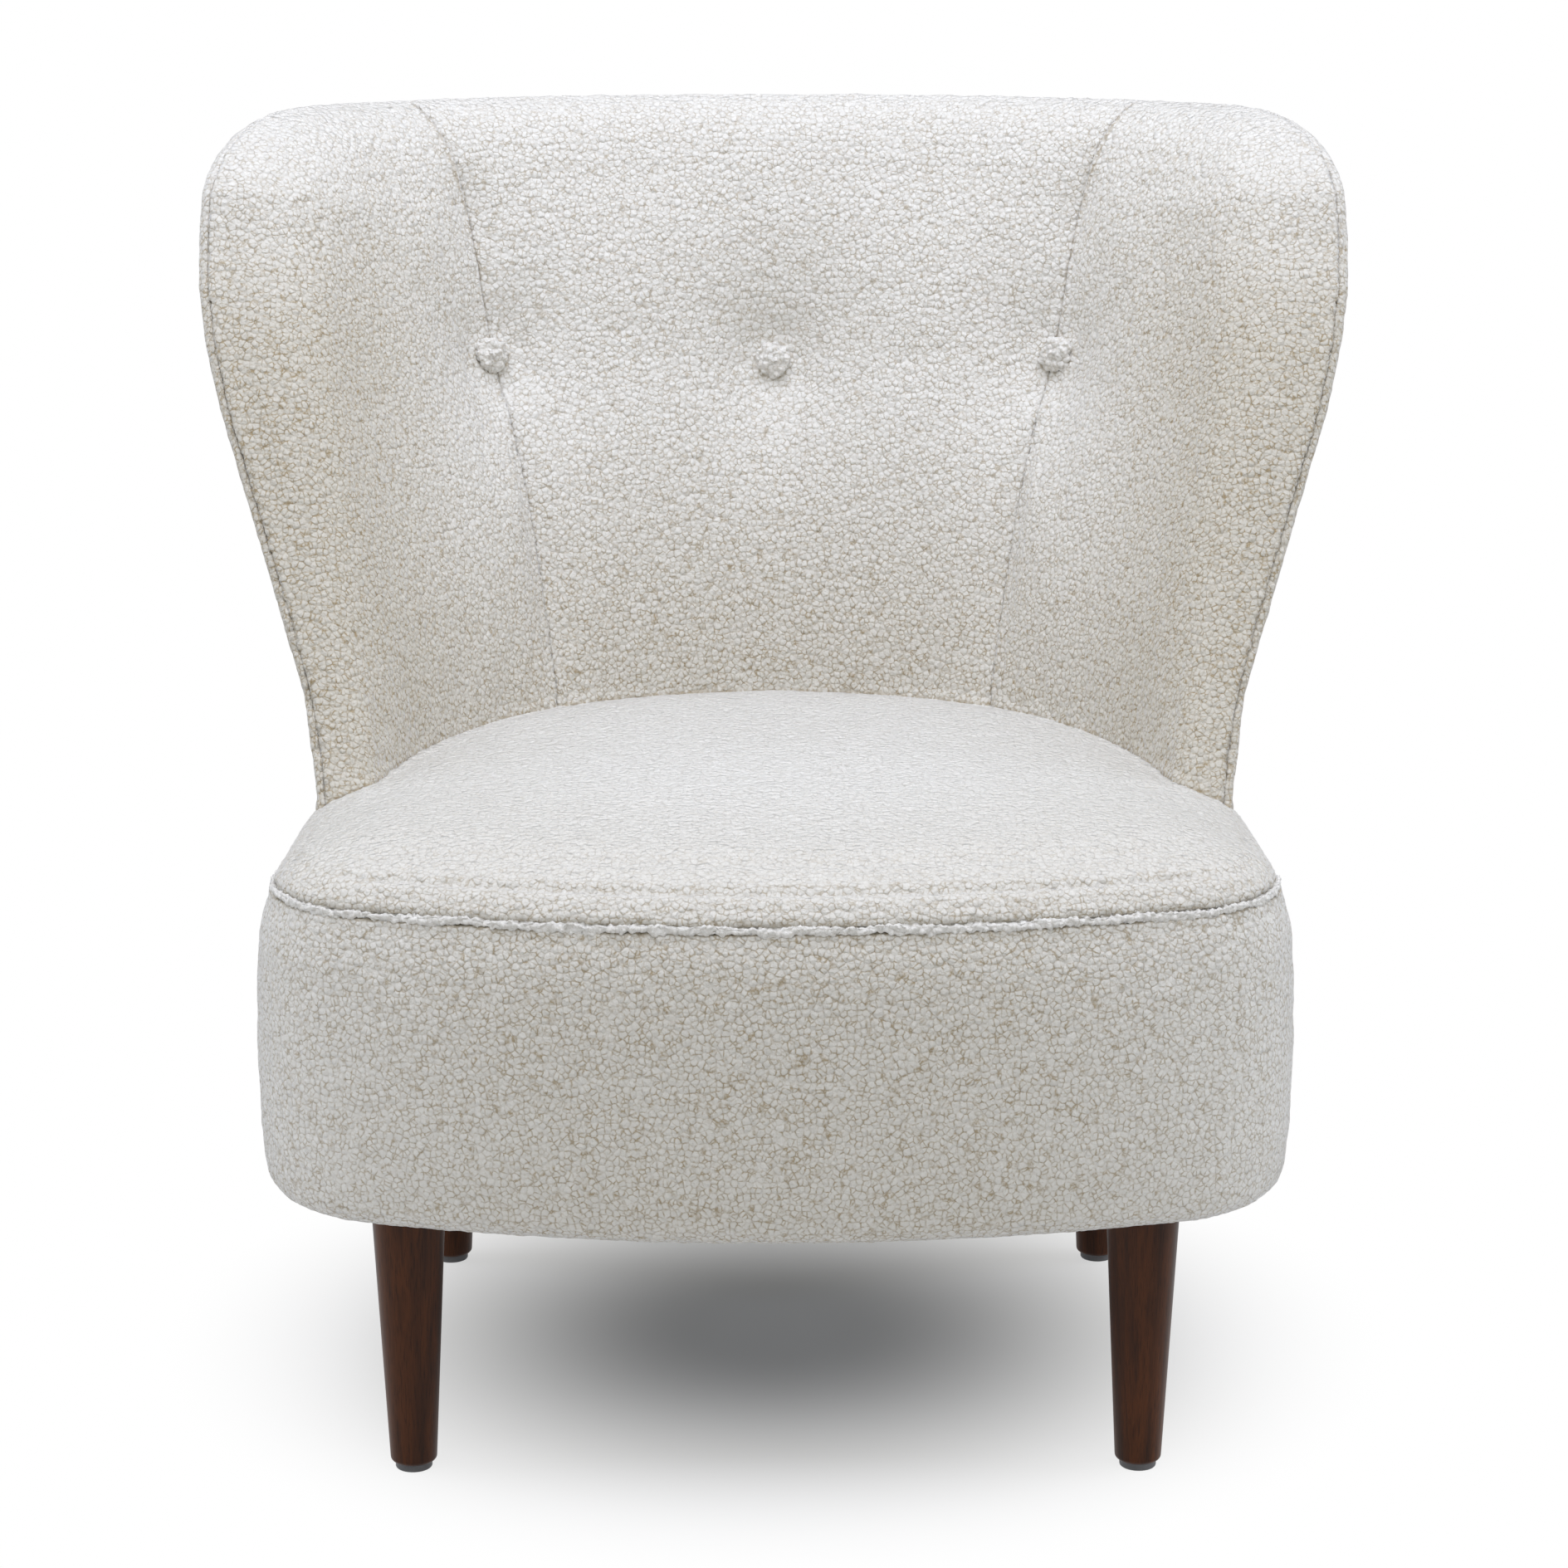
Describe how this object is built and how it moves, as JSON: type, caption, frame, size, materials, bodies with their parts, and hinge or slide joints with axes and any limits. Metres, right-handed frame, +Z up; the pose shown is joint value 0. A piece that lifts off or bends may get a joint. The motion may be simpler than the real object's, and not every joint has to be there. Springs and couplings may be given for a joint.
{
  "type": "cocktail chair",
  "caption": "Upholstered cocktail chair with a rounded seat drum, a curved and buttoned wing back and short tapered wooden legs.",
  "frame": {"origin": "on the floor under the middle of the whole chair's bounding box", "axes": "+Z up, the front of the seat faces -Y, +X to the right as seen from the front; left in node names is -X"},
  "size_m": [0.7744, 0.7239, 0.822],
  "materials": {
    "cover_fabric": "matte cream boucle with small curled nubs",
    "leg_wood": "satin dark walnut stain",
    "glide_plastic": "matte grey",
    "zinc_steel": "zinc plated",
    "plywood": "raw birch plywood",
    "beech": "raw beech",
    "hardboard": "raw hardboard",
    "foam": "open cell foam",
    "webbing": "woven elastic",
    "black_cambric": "non-woven",
    "twine": "waxed"
  },
  "bodies": {
    "root": {"leg_front_left": "leg_wood", "leg_front_right": "leg_wood", "leg_rear_left": "leg_wood", "leg_rear_right": "leg_wood", "glide_front_left": "glide_plastic", "glide_front_right": "glide_plastic", "glide_rear_left": "glide_plastic", "glide_rear_right": "glide_plastic", "leg_hanger_bolts": "zinc_steel", "leg_tee_nuts": "zinc_steel", "dust_cover": "black_cambric", "base_plate": "plywood", "frame_posts": "beech", "seat_ring": "plywood", "drum_frame_screws": "zinc_steel", "side_panel": "hardboard", "side_foam": "foam", "seat_band": "cover_fabric", "seam_welt": "cover_fabric", "seat_top_panel": "cover_fabric", "seat_rear_strip": "cover_fabric", "seat_foam": "foam", "seat_webbing_lengthwise": "webbing", "seat_webbing_crosswise": "webbing", "back_bottom_plate": "plywood", "back_middle_plate": "plywood", "back_top_plate": "plywood", "back_rib_1": "plywood", "back_rib_2": "plywood", "back_rib_3": "plywood", "back_rib_4": "plywood", "back_rib_5": "plywood", "back_rib_6": "plywood", "back_rib_7": "plywood", "back_bolts": "zinc_steel", "back_bolt_washers": "zinc_steel", "back_tee_nuts": "zinc_steel", "back_webbing": "webbing", "back_liner": "hardboard", "back_middle_pad": "cover_fabric", "back_left_pad": "cover_fabric", "back_right_pad": "cover_fabric", "back_outer_cover": "cover_fabric", "button_left": "cover_fabric", "button_middle": "cover_fabric", "button_right": "cover_fabric", "tufting_twines": "twine"}
  },
  "joints": []
}
